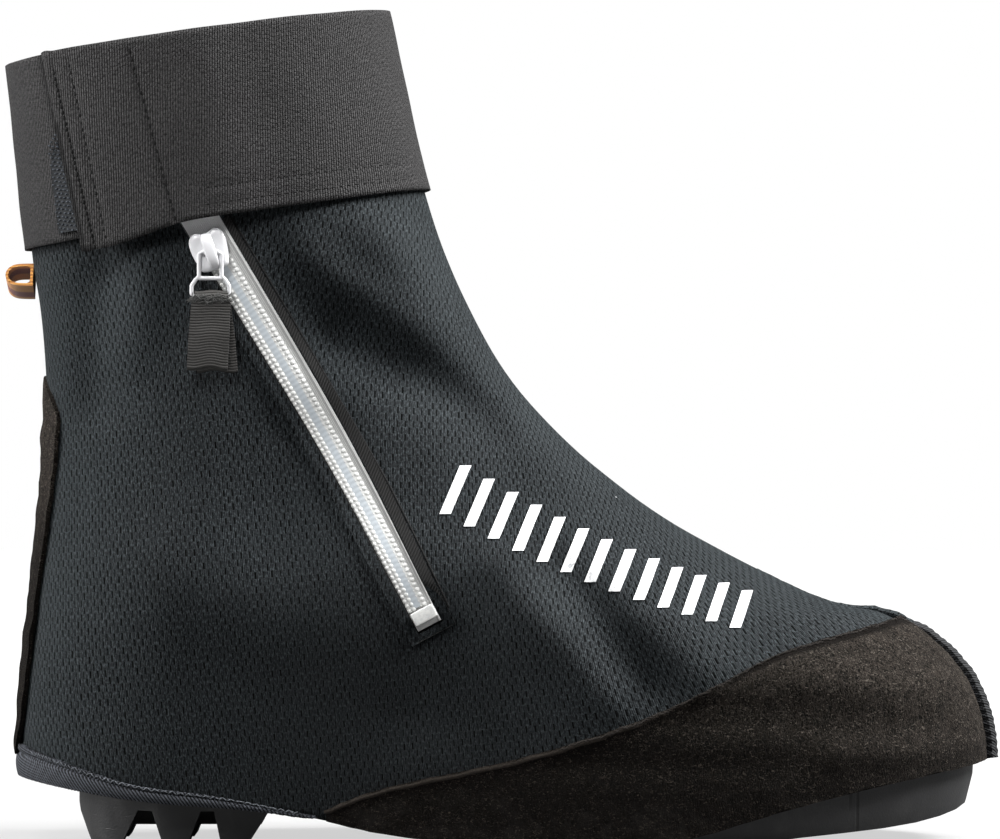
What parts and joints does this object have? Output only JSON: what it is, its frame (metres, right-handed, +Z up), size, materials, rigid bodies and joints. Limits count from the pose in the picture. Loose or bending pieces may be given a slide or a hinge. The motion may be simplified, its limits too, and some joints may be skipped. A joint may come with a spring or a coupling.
{
  "type": "boot cover",
  "caption": "Insulating cover worn over a cross-country ski boot: zipped softshell upper with elastic cuff, suede rand and heel strip, standing on the ski sole that closes it underneath",
  "frame": {"origin": "on the floor, in the middle of the box round the whole cover", "axes": "+X towards the toe, -Y towards the outer side with the zip, +Z up"},
  "size_m": [0.3178, 0.1106, 0.264],
  "materials": {
    "sole_rubber": "matt moulded rubber",
    "softshell": "knitted softshell, pitted mesh face",
    "elastic": "woven elastic band",
    "loop_pile": "looped pile",
    "suede": "split suede with a rough nap",
    "binding": "ribbed woven tape",
    "facing": "folded woven cloth",
    "loop_tape": "satin tape",
    "zip_cloth": "woven zip tape",
    "zip_coil": "translucent coil",
    "slider_enamel": "white enamel",
    "webbing": "ribbed webbing"
  },
  "bodies": {
    "cover": {"outsole": "sole_rubber", "shell": "softshell", "cuff_band": "elastic", "loop_patch": "loop_pile", "rand_outer": "suede", "rand_inner": "suede", "toe_seam_binding": "binding", "hem_binding": "binding", "heel_strip": "suede", "heel_loop": "loop_tape", "zip_tape": "zip_cloth", "zip_facing": "facing", "zip_chain": "zip_coil", "zip_bottom_stop": "zip_coil", "zip_slider": "slider_enamel"},
    "zip_pull": {"zip_bail": "slider_enamel", "zip_pull_tab": "webbing"}
  },
  "joints": [
    {"name": "zip_pull_swing", "type": "hinge", "parent": "cover", "child": "zip_pull", "pos_m": [-0.09078, -0.05034, 0.18597], "axis": [-1, -0.0001, 0.0017], "range_deg": [0, 140]}
  ]
}
